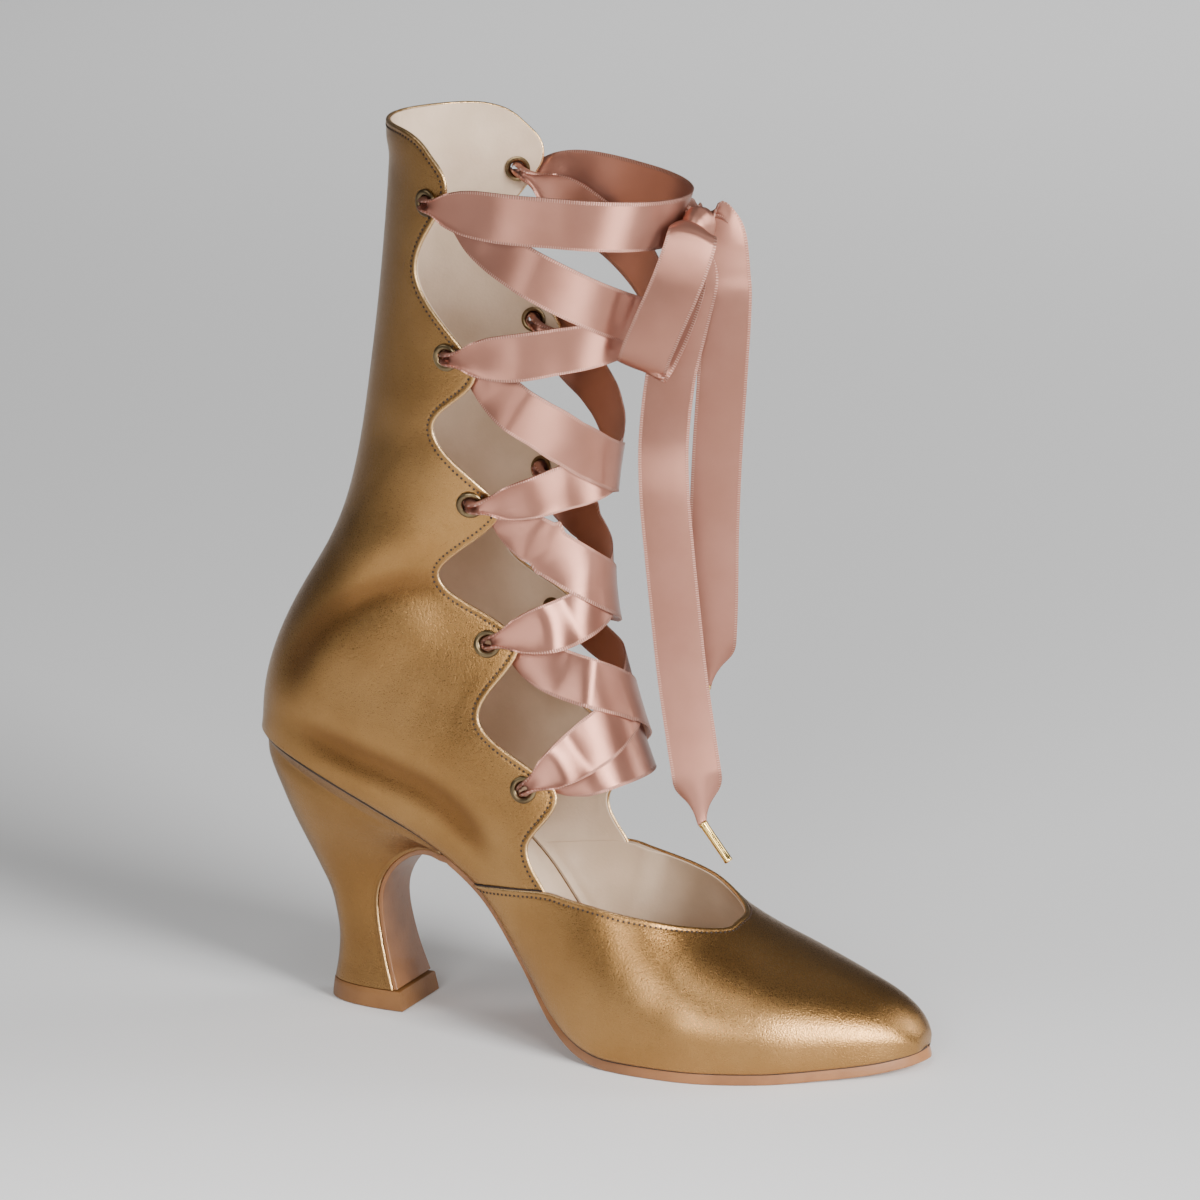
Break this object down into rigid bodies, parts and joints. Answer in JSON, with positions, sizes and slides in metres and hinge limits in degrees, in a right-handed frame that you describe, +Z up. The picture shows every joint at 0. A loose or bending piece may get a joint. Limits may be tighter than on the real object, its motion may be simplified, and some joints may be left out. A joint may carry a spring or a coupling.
{
  "type": "edwardian boot",
  "caption": "Laced ladies' boot on a curved heel, with a pointed toe, open scalloped facings with eyelets, and ribbon lacing tied in a bow.",
  "frame": {"origin": "middle of the heel's face on the floor", "axes": "+X to the toe, -Y to the outer side of the right foot, +Z up"},
  "size_m": [0.2324, 0.0873, 0.297],
  "materials": {
    "gold_leather": "metallic gold leather with a fine grain",
    "sole_leather": "smooth tan sole leather",
    "heel_rubber": "caramel heel lift",
    "sock_leather": "matt pale lining leather",
    "antique_brass": "dark antique brass",
    "rose_ribbon": "dusty rose satin",
    "gold_metal": "polished gold"
  },
  "bodies": {
    "root": {"upper": "gold_leather", "heel_block": "gold_leather", "outsole": "sole_leather", "top_piece": "heel_rubber", "insole": "sock_leather", "eyelet_outer_1": "antique_brass", "eyelet_outer_2": "antique_brass", "eyelet_outer_3": "antique_brass", "eyelet_outer_4": "antique_brass", "eyelet_outer_5": "antique_brass", "eyelet_inner_1": "antique_brass", "eyelet_inner_2": "antique_brass", "eyelet_inner_3": "antique_brass", "eyelet_inner_4": "antique_brass", "eyelet_inner_5": "antique_brass", "ribbon_cross_1": "rose_ribbon", "ribbon_cross_2": "rose_ribbon", "ribbon_cross_3": "rose_ribbon", "ribbon_cross_4": "rose_ribbon", "ribbon_bar": "rose_ribbon", "ribbon_top": "rose_ribbon", "bow_knot": "rose_ribbon", "bow_loop_outer": "rose_ribbon", "bow_loop_inner": "rose_ribbon", "ribbon_tail_outer": "rose_ribbon", "ribbon_tail_inner": "rose_ribbon", "aglet_outer": "gold_metal", "aglet_inner": "gold_metal"}
  },
  "joints": []
}
